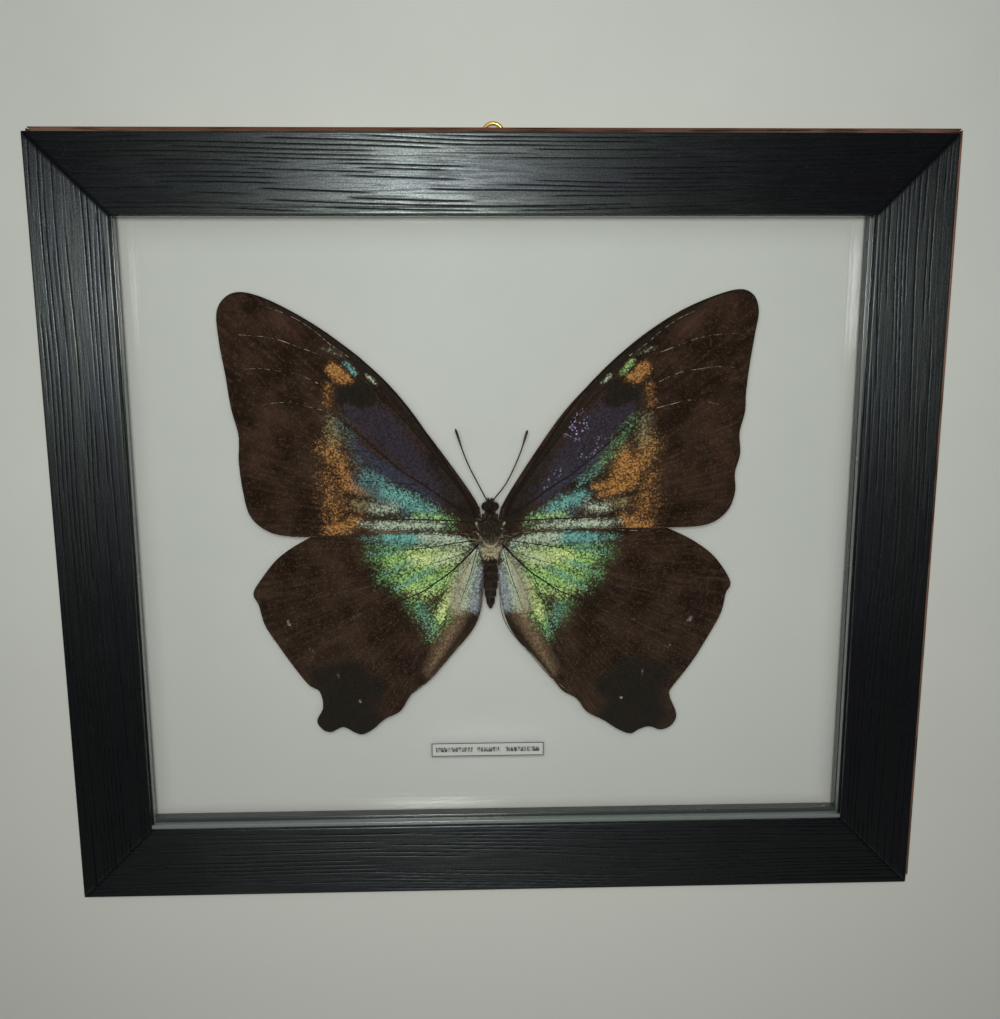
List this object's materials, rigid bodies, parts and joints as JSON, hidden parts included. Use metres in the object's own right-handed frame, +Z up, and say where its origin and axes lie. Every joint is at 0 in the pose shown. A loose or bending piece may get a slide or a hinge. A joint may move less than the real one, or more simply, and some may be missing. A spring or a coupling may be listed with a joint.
{
  "type": "framed butterfly specimen",
  "caption": "Set butterfly sealed between two panes of glass in a mitred wall frame with a swivelling hanging ring on the back.",
  "frame": {"origin": "inside top of the hanging ring, where the wall nail bears", "axes": "+X to the viewer's right, +Y from the glazed face back to the wall, +Z up"},
  "size_m": [0.2424, 0.0178, 0.2167],
  "materials": {
    "black_wood": "black stained open grain, satin lacquer",
    "brown_board": "brown stained board, matt",
    "clear_glass": "clear picture glass",
    "pale_strip": "glossy grey",
    "dark_strip": "glossy dark grey",
    "label_paper": "matt paper with a thin border",
    "forewing": "scaled, dark brown with a blue, green and orange flush",
    "hindwing": "scaled, dark brown with a green and grey flush",
    "insect_body": "dark brown hair with pale bands",
    "antenna": "dark and horny",
    "brass": "bright brass, a little tarnished"
  },
  "bodies": {
    "frame": {"face_rail_top": "black_wood", "face_rail_bottom": "black_wood", "face_rail_left": "black_wood", "face_rail_right": "black_wood", "box_rail_top": "brown_board", "box_rail_bottom": "brown_board", "box_rail_left": "brown_board", "box_rail_right": "brown_board", "front_glass": "clear_glass", "rear_glass": "clear_glass", "pale_spacer_top": "pale_strip", "pale_spacer_bottom": "pale_strip", "pale_spacer_left": "pale_strip", "pale_spacer_right": "pale_strip", "dark_spacer_top": "dark_strip", "dark_spacer_bottom": "dark_strip", "dark_spacer_left": "dark_strip", "dark_spacer_right": "dark_strip", "label": "label_paper", "forewing_left": "forewing", "forewing_right": "forewing", "hindwing_left": "hindwing", "hindwing_right": "hindwing", "body": "insect_body", "antenna_left": "antenna", "antenna_right": "antenna", "hanger_plate": "brass", "hanger_screw_upper": "brass", "hanger_screw_lower": "brass"},
    "ring": {"hanger_ring": "brass"}
  },
  "joints": [
    {"name": "ring_swivel", "type": "hinge", "parent": "frame", "child": "ring", "pos_m": [0, 0, -0.0049], "axis": [-1, 0, 0], "range_deg": [0, 178]}
  ]
}
